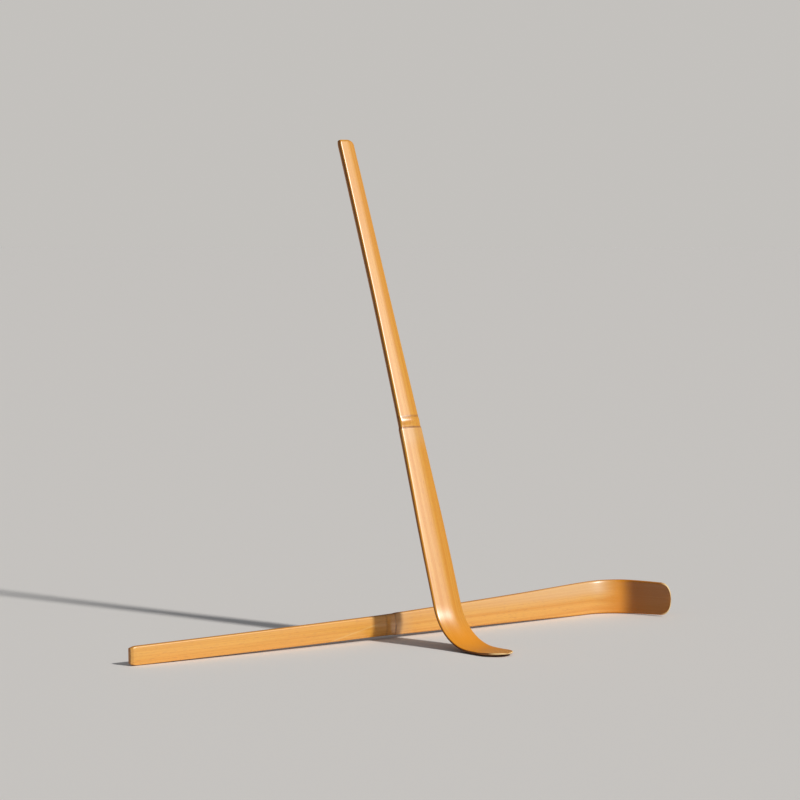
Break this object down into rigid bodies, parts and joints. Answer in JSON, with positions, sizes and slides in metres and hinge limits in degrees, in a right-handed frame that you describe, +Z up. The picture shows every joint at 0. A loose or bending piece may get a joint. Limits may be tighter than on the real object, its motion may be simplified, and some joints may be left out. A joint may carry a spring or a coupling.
{
  "type": "bamboo tea scoop pair",
  "caption": "Pair of bamboo matcha scoops with bent bowl tips, one standing on its tip before one lying on its long edge.",
  "frame": {"origin": "on the ground, below the middle of the pair's box", "axes": "+X to the right along the pair's longest side, +Y away from the viewer, +Z up"},
  "size_m": [0.164, 0.1064, 0.1516],
  "materials": {
    "lying_bamboo": "satin",
    "standing_bamboo": "satin"
  },
  "bodies": {
    "lying": {"lying_scoop": "lying_bamboo"},
    "standing": {"standing_scoop": "standing_bamboo"}
  },
  "joints": [
    {"name": "lift_off", "type": "slide", "parent": "lying", "child": "standing", "axis": [0, 0, 1], "range_m": [0, 0.16]}
  ]
}
